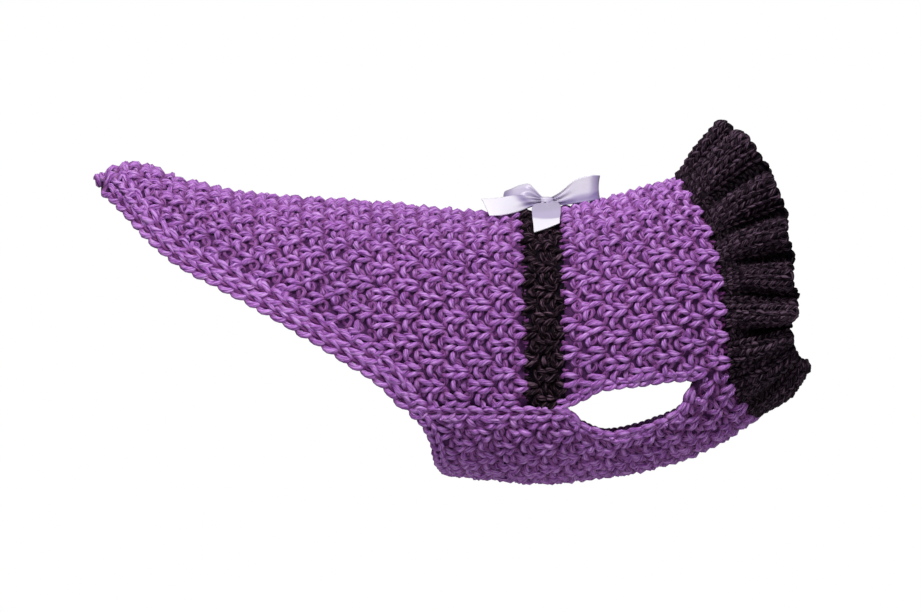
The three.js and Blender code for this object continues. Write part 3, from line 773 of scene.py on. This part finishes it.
# The chained hem: rows from and to, how far in from the edge, and the form of each chain
chainKeys = ("from", "to", "inset", "limit", "pitch", "width", "lift", "deep")
hemEdging = {
    "yarnRadius": 1.2,
    "outer": (28.6, 1.1, 1.4, 0.3, 6.3, 4.8, 0.4, 0.5), "inner": (27.6, 2.2, 6.8, 0.6, 6.5, 5.2, 0.5, 0.5),
    "nub": {"from": -187.0, "length": 6.5, "height": 16.2, "radius": 2.3, "turns": 3.3, "points": 40,
            "endShare": 0.12, "midShare": 0.76, "roundness": 0.6, "lift": 0.5},
}


def edgeChain(laid, side, numbers):
    c = dict(zip(chainKeys, numbers))
    return chainAlong(*edgeTrack(laid, side, c), c)


def tipNub(n):  # the knotted yarn end at the tip of the flap
    turn = np.linspace(0, 2 * np.pi * n["turns"], n["points"])
    share = np.linspace(0, 1, n["points"])
    radius = n["radius"] * np.sin(np.pi * (n["endShare"] + n["midShare"] * share)) ** n["roundness"]
    path = np.stack([n["from"] + n["length"] * share, radius * np.cos(turn),
                     n["height"] + radius * np.sin(turn)], -1)
    return withLift(path, n["lift"] + 0 * share)


hemTracks = [edgeChain(rear, side, hemEdging[part]) for side in (-1, 1) for part in ("outer", "inner")]
hemTracks.append(tipNub(hemEdging["nub"]))
hemChain = spinYarn("hemChain", hemTracks, purpleWool, hemEdging["yarnRadius"])

rimEdging = {
    "yoke": (10.5, -0.5, 0.9, 0.5, 5.2, 3.0, 0.1, 0.5), "belly": (14.1, 0.2, 1.8, 0.5, 5.6, 4.6, 0.5, 0.6),
    "near": (26.2, 13.8, 0.6, 0.5, 5.6, 2.8, 0.0, 0.5),
    "far": {"from": 26.2, "to": 13.2, "inset": 0.9, "limit": 0.5, "pitch": 6.0, "reach": 0.8, "steps": 8,
            "lift": 0.4, "wander": 0.1},
    "hem": {"row": 0.2, "points": 81, "inset": 1.0, "pitch": 4.6, "width": 4.0, "lift": 0.9, "deep": 0.8},
}
rimTracks = []
for side in (-1, 1):
    rimTracks += [edgeChain(yoke, side, rimEdging["yoke"]), edgeChain(belly, side, rimEdging["belly"])]
rimTracks.append(edgeChain(belly, 1, rimEdging["near"]))
rimTracks += cordAlong(*edgeTrack(belly, -1, rimEdging["far"]), rimEdging["far"])
hem = rimEdging["hem"]
hemLine = np.linspace(-1, 1, hem["points"]) * (edgeAcross(belly, hem["row"]) - hem["inset"])
hemPoints = placeOn(belly, hem["row"], hemLine, 0 * hemLine)
hemNormals = unit(placeOn(belly, hem["row"], hemLine, 0 * hemLine + 1) - hemPoints)
rimTracks.append(chainAlong(hemPoints, hemNormals, hem))
rimChain = spinYarn("rimChain", rimTracks, purpleWool)
print("edges chained")

# The gathered collar: angle, and how far the free edge lies forward, outward and up from the seam
collarFlare = [
    (0, 19, 0, 26.5), (14, 19.5, 2, 25.5), (30, 24, 5, 21), (50, 28, 8, 13.5), (68, 28.5, 10, 5),
    (80, 28.5, 10, -2), (92, 29, 9, -1), (104, 28, 8, 2), (118, 26.5, 6.5, 8), (134, 24, 5, 14),
    (150, 21, 3, 19), (180, 18.5, 0, 22.5),
]
# Its ridges and furrows: angle, push, reach
nearFolds = [
    (0, 2, 1), (6, 2.6, 1.01), (12, -3.6, 1), (23, 3.2, 1.06), (35, -5.6, 1), (44, 3.8, 1), (53, -5.8, 0.97),
    (61, 3.8, 1), (69, -5.6, 0.97), (76, 3.4, 1), (83, -5, 0.98), (96, 3.8, 1.01), (107, -6.4, 0.84),
    (119, 2.4, 0.98), (128, -1.6, 1), (137, 3, 1.03), (150, -2.6, 1.03), (164, 2.6, 1.06), (180, 1, 0.98),
]
farFolds = [
    (0, 1.6, 1), (11, -3.6, 0.98), (21, 2.8, 1), (32, -4, 0.97), (42, 3, 1.01), (52, -3.6, 0.98),
    (61, 2.9, 1), (70, -3.4, 0.97), (80, 3, 1), (91, -4.4, 0.95), (104, 3.3, 1), (118, -4.6, 0.95),
    (133, 3.1, 1.01), (149, -3.4, 0.97), (165, 2.4, 1), (180, 2.2, 1),
]
collarCloth = {
    "bulge": 2.6, "gather": 0.55, "ridgeRoundness": 0.7, "seamDepth": 1.8, "seamGap": 0.17,
    "crownReach": 26.0, "crownSwell": 4.6, "crownFade": 0.28, "crownFlat": 0.6,
    "shoulderFrom": -0.08, "shoulderTo": 0.1, "shoulderEnd": 1.2,
    "ringProbe": 2, "angleProbe": 0.6, "alongProbe": 0.02, "waleLine": 0.8,
    "wales": 96, "rows": 10, "edgeRow": 6, "yarnRadius": 0.96, "depth": 1.0, "loopHeight": 1.6,
    "start": -0.05, "trim": 1.01, "sizeWander": 0.05, "placeWander": 0.15, "purlBelow": -2.0,
    "foldShade": 0.3, "shadeFrom": -1.5, "shadeTo": 3.0, "liftShare": 0.75, "liftShift": -0.15,
}
flare = [smoothColumn([row[0] for row in collarFlare], [row[k] for row in collarFlare]) for k in (1, 2, 3)]


def foldAt(angle, folds):
    rows = np.array(folds, float)
    spineAngle = fromSpine(angle)
    i = np.clip(np.searchsorted(rows[:, 0], spineAngle, side="left") - 1, 0, len(rows) - 2)
    share = np.clip((spineAngle - rows[i, 0]) / (rows[i + 1, 0] - rows[i, 0]), 0, 1)
    ease = (1 - np.cos(np.pi * share)) / 2
    power = collarCloth["ridgeRoundness"]
    rounded = np.where(rows[i + 1, 1] > rows[i, 1], ease ** power, 1 - (1 - ease) ** power)
    return mix(rows[i, 1], rows[i + 1, 1], rounded), mix(rows[i, 2], rows[i + 1, 2], ease)


def collarPoint(angle, along):
    c = collarCloth
    angle, along = together(angle, along)
    seamX = neckX(angle) + c["seamGap"]
    far = (angle % 360) <= 180
    pushFar, reachFar = foldAt(angle, farFolds)
    pushNear, reachNear = foldAt(angle, nearFolds)
    push, reach = np.where(far, pushFar, pushNear), np.where(far, reachFar, reachNear)
    spineAngle = fromSpine(angle)
    side = np.where(np.sin(np.radians(angle)) < 0, -1, 1)
    direction = np.stack([flare[0](spineAngle), side * flare[1](spineAngle), flare[2](spineAngle)], -1)
    before, after = angle - c["ringProbe"], angle + c["ringProbe"]
    outwards = unit(np.cross(bodyPoint(neckX(before), before) - bodyPoint(neckX(after), after), direction))
    turn = smoothStep(along, 0, c["gather"])[..., None]
    middle = bodyPoint(seamX, angle) - bodyNormal(seamX, angle) * c["seamDepth"]
    middle = middle + direction * along[..., None] * mix(1, reach[..., None], turn)
    crown = np.exp(-(spineAngle / c["crownReach"]) ** 2)[..., None]
    shoulder = smoothStep(along, c["shoulderFrom"], c["shoulderTo"])
    shoulder = shoulder * np.exp(-np.clip(along, 0, c["shoulderEnd"]) / c["crownFade"])
    lift = c["bulge"] * np.sin(np.pi * along)[..., None] * (1 - c["crownFlat"] * crown)
    lift = lift + push[..., None] * turn + crown * c["crownSwell"] * shoulder[..., None]
    return middle + outwards * lift


def collarFacing(angle, along):
    turn, step = collarCloth["angleProbe"], collarCloth["alongProbe"]
    around = collarPoint(angle + turn, along) - collarPoint(angle - turn, along)
    ahead = collarPoint(angle, along + step) - collarPoint(angle, along - step)
    return -unit(np.cross(around, ahead))


def collarWales():  # evenly spaced round the gathered edge
    angles = np.linspace(0, 360, 1441)
    arc = arcLength(collarPoint(angles, collarCloth["waleLine"]))
    return np.interp(np.linspace(0, arc[-1], collarCloth["wales"] + 1), arc, angles)


waleAngles = collarWales()
collarGrid = {"angles": 721, "angleStep": 0.5, "alongs": 51, "alongStep": 0.025, "from": -0.1, "to": 1.15}
gridAngles = np.linspace(0, 360, collarGrid["angles"])[:, None]
gridAlong = np.linspace(collarGrid["from"], collarGrid["to"], collarGrid["alongs"])
collarPoints, collarNormals = collarPoint(gridAngles, gridAlong), collarFacing(gridAngles, gridAlong)


def placeCollar(angle, along, lift):
    g = collarGrid
    i = np.clip((angle % 360) / g["angleStep"], 0, g["angles"] - 1.001)
    j = np.clip((along - g["from"]) / g["alongStep"], 0, g["alongs"] - 1.001)
    return readGrid(collarPoints, i, j) + unit(readGrid(collarNormals, i, j)) * lift[..., None]


def knitCollar(c):
    middleAngles = (waleAngles[:-1] + waleAngles[1:]) / 2
    farPush, nearPush = foldAt(middleAngles, farFolds)[0], foldAt(middleAngles, nearFolds)[0]
    push = np.where(middleAngles <= 180, farPush, nearPush)
    sign = np.where(push > c["purlBelow"], 1.0, -1.0)
    rise = -loopRise * c["loopHeight"]
    angle = waleAngles[:-1, None] + loopPlaces * np.diff(waleAngles)[:, None]
    depth = loopDepths(sign, np.roll(sign, 1), -loopShape["foot"] * sign, loopShape["toe"] * sign,
                       -loopShape["head"] * sign)
    depth = np.append(depth.ravel(), depth[0, 0])
    # Painted light and shade: ridges make the yarn lighter and furrows darker through its lift number, fading
    # out towards the seam.
    foldShading = np.append(np.repeat(push, 8), push[0]) * c["foldShade"]
    paths = []
    for row in range(c["rows"]):
        size = 1 + dice.normal(0, c["sizeWander"], len(sign))
        along = (row + 0.5 + rise * size[:, None]) / c["rows"] * c["trim"] + c["start"]
        path = placeCollar(np.append(angle.ravel(), 360.0), np.append(along.ravel(), along[0, 0]),
                           depth * c["depth"])
        path = path + dice.normal(0, c["placeWander"], path.shape)
        shade = foldShading * smoothStep(row, c["shadeFrom"], c["shadeTo"])
        paths.append(withLift(path, c["liftShare"] * depth + shade + c["liftShift"]))
    return paths


collarRows = knitCollar(collarCloth)
edgeRow = collarCloth["edgeRow"]
collarKnit = spinYarn("collarKnit", collarRows[:edgeRow], collarWool, collarCloth["yarnRadius"])
collarRim = spinYarn("collarKnitEdge", collarRows[edgeRow:], collarWool, collarCloth["yarnRadius"])
collarSheet = {"turns": 360, "columns": 13, "from": -0.045, "to": 0.975, "outer": 0.1, "inner": -0.5}


# A dark sheet inside the collar's yarn: painted shade in the gaps between its stitches.
def collarShadeLining(s):
    angles, along = together(np.linspace(0, 360, s["turns"] + 1)[:-1, None],
                             np.linspace(s["from"], s["to"], s["columns"]))
    outer, inner = [placeCollar(angles, along, 0 * angles + s[face]) for face in ("outer", "inner")]
    return sheetMesh("collarShadeLining", outer, inner, True, blackShadeCore)


collarCore = collarShadeLining(collarSheet)
print("collar knitted")

# The satin bow: x, y, z, width, lean of the width from upright
bow = {
    "leftLoop": [
        (-0.2, -2.2, 8.0, 2.4, 20), (-4.6, -3.6, 10.9, 7.4, 25), (-8.6, -3.6, 10.8, 9.2, 45),
        (-12.6, -2.6, 9.9, 10, 60), (-15, -0.8, 9.4, 10, 66), (-14.4, 1.2, 8.9, 10, 62),
        (-11.2, 2.4, 8.4, 9.6, 50), (-6.2, 2.6, 8.2, 8, 35), (-0.2, 1.2, 7.8, 2.4, 20),
    ],
    "rightLoop": [
        (4.0, -2.2, 7.5, 2.4, 5), (8.0, -3.4, 8.3, 5.4, 5), (14.3, -4.8, 11.2, 10.0, 8),
        (20.2, -5.2, 12.5, 10.9, 8), (23.7, -4.4, 13.0, 10.3, 8), (24.6, -2.6, 13.0, 10, 8),
        (23.6, -0.8, 12.9, 10, 8), (18.6, 0.4, 11.9, 9.8, 8), (12, 1.2, 9.8, 7.4, 8), (4.0, 1.2, 7.5, 2.4, 5),
    ],
    "leftTail": [
        (-0.6, -3.6, 7.2, 2.4, 24), (-5, -7.6, 6.8, 5.8, 32), (-10.4, -11.2, 6.0, 9.4, 40),
        (-16.4, -14, 4.9, 10.4, 43), (-20.6, -15, 4.5, 10.2, 44), (-23.4, -15.3, 4.4, 10, 44),
    ],
    "downTail": [(-3.2, 3.2, 4.4), (-6.5, 3.3, 7.2), (-11, 3.2, 10.4), (-16, 3.1, 12.0), (-20.5, 3.2, 12.0),
                 (-24, 2.5, 11.6), (-27.6, 2.2, 11.0), (-30.6, 1.8, 10.7)],
    "downTailX": 1.9, "knot": (1.9, -0.9, 7.6), "knotSize": (6.2, 6.8, 3.4), "thickness": 0.4,
    "fullWidth": 10.0, "columns": 25, "pleats": 2.5, "pleatDepth": 0.9, "pleatPhase": 0.6, "pinchShade": 0.5,
    "slantFrom": 0.6,
}
# The satin's painted shade and painted highlight at a share of the length and a share of the width
bowShading = {
    "leftLoop": lambda run, over: 0.56 - 0.5 * smoothStep(run, 0.34, 0.5) + 0.25 * over,
    "rightLoop": lambda run, over: (
        0.72 + 0.15 * over - 0.65 * smoothStep(-over, 0.08, 0.4) * smoothStep(run, 0.02, 0.1)
        - 0.5 * smoothStep(run, 0.36, 0.46)),
    "leftTail": lambda run, over: 0.66 + 0.2 * run - 0.5 * np.exp(-((run - 0.3 - 0.25 * over) / 0.09) ** 2),
    "downTail": lambda run, over: 0.46 + 0.36 * smoothStep(run - 0.14 * over, 0.76, 0.81),
}


def catmullRom(rows, count):
    rows = np.array(rows, float)
    rows = np.concatenate([2 * rows[:1] - rows[1:2], rows, 2 * rows[-1:] - rows[-2:-1]])
    t = np.linspace(0, len(rows) - 3 - 1e-9, count)
    i = t.astype(int) + 1
    f = (t - t.astype(int))[:, None]
    p0, p1, p2, p3 = rows[i - 1], rows[i], rows[i + 1], rows[i + 2]
    return 0.5 * (2 * p1 + (p2 - p0) * f + (2 * p0 - 5 * p1 + 4 * p2 - p3) * f ** 2
                  + (3 * p1 - p0 - 3 * p2 + p3) * f ** 3)


def setPaintedShading(piece, values):
    storeNumbers(piece.data, "paintedShading", np.concatenate([values.ravel(), values.ravel()]))


def mapFlat(piece, flat):  # the weave runs alike on the ribbon's two faces
    flat = np.concatenate([flat, flat])
    layer = piece.data.uv_layers.new(name="ribbonMap")
    corners = np.zeros(len(piece.data.loops), np.int64)
    piece.data.loops.foreach_get("vertex_index", corners)
    layer.data.foreach_set("uv", flat[corners].astype(np.float32).ravel())


def ribbonPiece(name, centres, widths, count, shadingAt, crown=0.0, slant=0.0):
    line, across = catmullRom(centres, count), catmullRom(widths, count)
    tangent = unit(np.gradient(line, axis=0))
    facing = unit(np.cross(across, tangent))
    share = np.linspace(-0.5, 0.5, bow["columns"])
    arc = arcLength(line)
    width = np.linalg.norm(across, axis=1)
    middle = line[:, None] + across[:, None] * share[None, :, None]
    pinch = np.clip(1 - width / bow["fullWidth"], 0, 1)
    pleat = bow["pleatDepth"] * np.cos(2 * np.pi * bow["pleats"] * share + bow["pleatPhase"])
    middle = middle + facing[:, None] * (pinch[:, None] * pleat)[..., None]
    swell = crown * (1 - (2 * share) ** 2)
    pull = slant * smoothStep(arc / arc[-1], bow["slantFrom"], 1.0)
    middle = middle + facing[:, None] * swell[None, :, None]
    middle = middle + tangent[:, None] * (pull[:, None] * share)[..., None]
    half = facing[:, None] * bow["thickness"] / 2
    piece = sheetMesh(name, middle + half, middle - half, False, lilacSatin)
    run, over = np.broadcast_arrays((arc / arc[-1])[:, None], share)
    furrow = 0.5 - 0.5 * pleat / bow["pleatDepth"]
    # Darker in the pleat furrows where the ribbon is pinched: painted shade.
    setPaintedShading(piece, shadingAt(run, over) - bow["pinchShade"] * pinch[:, None] * furrow)
    flat = np.stack([share * width[:, None], arc[:, None] + 0 * share], -1)
    mapFlat(piece, flat.reshape(-1, 2))
    return piece, arc[-1], float(np.mean(width))


def leaning(rows):
    rows = np.array(rows, float)
    lean = np.radians(rows[:, 4])
    return rows[:, :3], np.stack([0 * lean, np.sin(lean) * rows[:, 3], np.cos(lean) * rows[:, 3]], -1)


bowParts = {}
for part, count, crown, slant in [("leftLoop", 65, 0.5, 0), ("rightLoop", 65, 0.6, 0),
                                  ("leftTail", 49, 0.4, 3.3)]:
    centres, widths = leaning(bow[part])
    name = "bow" + part[0].upper() + part[1:]
    bowParts[part] = ribbonPiece(name, centres, widths, count, bowShading[part], crown, slant)
downCentres, downWidths = [], []
for y, rise, width in bow["downTail"]:
    x = bow["downTailX"]
    surface = top(x) - upper(x) + upper(x) * math.sqrt(1 - min(1, abs(y) / float(halfWidth(x))) ** 2)
    downCentres.append((x, y, surface + rise))
    downWidths.append((width, 0, width * 0.1))
bowParts["downTail"] = ribbonPiece("bowDownTail", downCentres, downWidths, 49, bowShading["downTail"],
                                   0.3, -4.6)

knotForm = {
    "turns": 33, "rings": 17, "endSize": 0.72, "swell": 0.28, "swellPower": 0.7, "creaseDepth": 0.10,
    "creases": 3.5, "creasePhase": 0.4, "squareness": 0.82, "wall": 0.8, "wrap": 6,
}


def knotPiece(k):
    around = np.linspace(0, 2 * np.pi, k["turns"])[:-1]
    along = np.linspace(-0.5, 0.5, k["rings"])
    size = k["endSize"] + k["swell"] * np.cos(np.pi * along) ** k["swellPower"]
    furrow = np.abs(np.sin(around * k["creases"] + k["creasePhase"]))
    crease = 1 - k["creaseDepth"] * furrow * np.cos(np.pi * along)[:, None]
    y, z = [np.sign(wave) * np.abs(wave) ** k["squareness"] for wave in (np.cos(around), np.sin(around))]
    long, deep, tall = bow["knotSize"]
    shell = np.stack([along[:, None] * long + 0 * y, y * size[:, None] * crease * deep / 2,
                      z * size[:, None] * crease * tall / 2], -1).transpose(1, 0, 2)
    centre = np.array(bow["knot"])
    core = centre + shell * np.array([1, k["wall"], k["wall"]])
    piece = sheetMesh("bowKnot", shell + centre, core, True, lilacSatin)
    # Darker towards the knot's two ends: painted shade.
    setPaintedShading(piece, 0.7 - 0.5 * np.abs(along) + 0 * around[:, None])
    mapFlat(piece, np.array([[a, t * k["wrap"]] for t in around for a in along * long]))
    return piece


bowKnot = knotPiece(knotForm)
print("bow tied")

# The pieces by what they are made of, each attached to the root; the CAD solids are hidden
groups = [
    ("purple_yarn", [rearCore, yokeCore, bellyCore, rearTailKnit, rearSaddleKnit, yokeKnit, bellyKnit,
                     hemChain, rimChain]),
    ("black_yarn", [bandCore, bandKnit]),
    ("collar_yarn", [collarCore, collarKnit, collarRim]),
    ("satin_ribbon", [bowKnot] + [entry[0] for entry in bowParts.values()]),
]
for slotName, objects in groups:
    for piece in objects:
        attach(piece, "root")
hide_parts("back_rear")
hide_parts("back_band")
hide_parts("back_yoke")
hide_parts("belly_panel")
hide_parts("collar")
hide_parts("bow_loop_left")
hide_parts("bow_loop_right")
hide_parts("bow_tail_left")
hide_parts("bow_tail_down")
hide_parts("bow_knot")
print("pieces riding")

floorForm = {
    "reach": 12.0, "height": -2.6, "colour": (0.93, 0.93, 0.935, 1), "roughness": 0.9, "glow": 0.9,
}


def paleFloor(f):  # far enough below that no view from under the garment is blocked
    mesh = bpy.data.meshes.new("paleFloor")
    corners = [(-1, -1), (1, -1), (1, 1), (-1, 1)]
    mesh.from_pydata([(x * f["reach"], y * f["reach"], f["height"]) for x, y in corners], [], [(0, 1, 2, 3)])
    floor = placeObject("paleFloor", mesh)
    material, shader = newMaterial("palePaper")
    setInputs(shader, {"Base Color": f["colour"], "Roughness": f["roughness"],
                       "Emission Color": (1, 1, 1, 1), "Emission Strength": f["glow"]})
    mesh.materials.append(material)
    floor.visible_diffuse = floor.visible_glossy = floor.visible_shadow = False


# The lamps: name, place, what it points at, size, power. The camera sees the room as white.
studio = {
    "roomColour": (0.98, 0.99, 1.0, 1), "roomStrength": 0.26,
    "lamps": [("overhead", (-0.1, -0.85, 1.1), (-0.03, 0.0, -0.03), 0.5, 20.5),
              ("fromFront", (-0.4, -1.6, -0.1), (-0.03, 0.0, -0.05), 0.7, 4.0),
              ("fromBelow", (0.2, -0.65, -1.15), (0.0, 0.0, -0.08), 0.6, 2.5)],
}


def lightStudio(s):
    world = bpy.data.worlds.new("softRoom")
    world.use_nodes = True
    tree = world.node_tree
    room, seen = tree.nodes["Background"], tree.nodes.new("ShaderNodeBackground")
    setInputs(room, {"Color": s["roomColour"], "Strength": s["roomStrength"]})
    seen.inputs["Color"].default_value = (1, 1, 1, 1)
    ray, choice = tree.nodes.new("ShaderNodeLightPath"), tree.nodes.new("ShaderNodeMixShader")
    tree.links.new(ray.outputs["Is Camera Ray"], choice.inputs["Fac"])
    tree.links.new(room.outputs["Background"], choice.inputs[1])
    tree.links.new(seen.outputs["Background"], choice.inputs[2])
    tree.links.new(choice.outputs["Shader"], tree.nodes["World Output"].inputs["Surface"])
    scene.world = world
    for name, place, aim, size, power in s["lamps"]:
        data = bpy.data.lights.new(name, "AREA")
        data.size, data.energy = size, power
        light = placeObject(name, data)
        light.location = place
        away = np.array(place) - np.array(aim)
        light.rotation_euler = (math.atan2(math.hypot(away[0], away[1]), away[2]), 0,
                                math.atan2(away[1], away[0]) + math.pi / 2)


paleFloor(floorForm)
lightStudio(studio)
scene.view_settings.view_transform = "Standard"
print("stage set")
